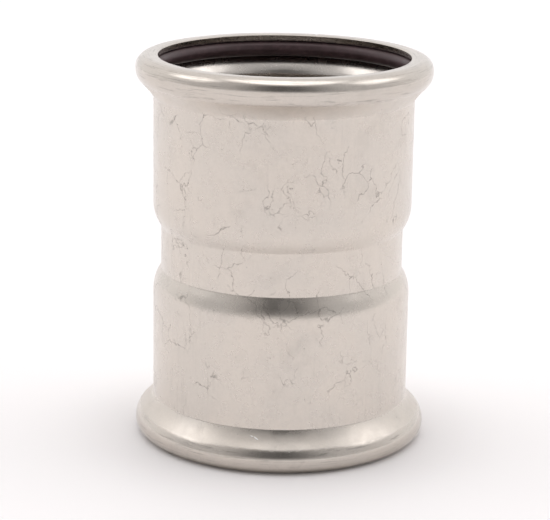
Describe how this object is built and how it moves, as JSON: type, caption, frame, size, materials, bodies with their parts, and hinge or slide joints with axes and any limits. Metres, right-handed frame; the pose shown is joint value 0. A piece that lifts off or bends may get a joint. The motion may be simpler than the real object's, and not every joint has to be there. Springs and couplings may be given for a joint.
{
  "type": "press-fit pipe coupling",
  "caption": "Straight stainless steel press-fit coupling with a socket at each end, a necked middle and a rubber seal ring in each rolled bead.",
  "frame": {"origin": "centre of the lower end face, on the bore's axis", "axes": "+Z along the bore, out of the upper mouth; X and Y are alike, because the part is round"},
  "size_m": [0.0654, 0.0654, 0.086],
  "materials": {
    "stainless_steel": "satin, pickled stainless steel",
    "seal_rubber": "moulded, slightly glossy"
  },
  "bodies": {
    "root": {"coupling_body": "stainless_steel", "upper_seal_ring": "seal_rubber", "lower_seal_ring": "seal_rubber"}
  },
  "joints": []
}
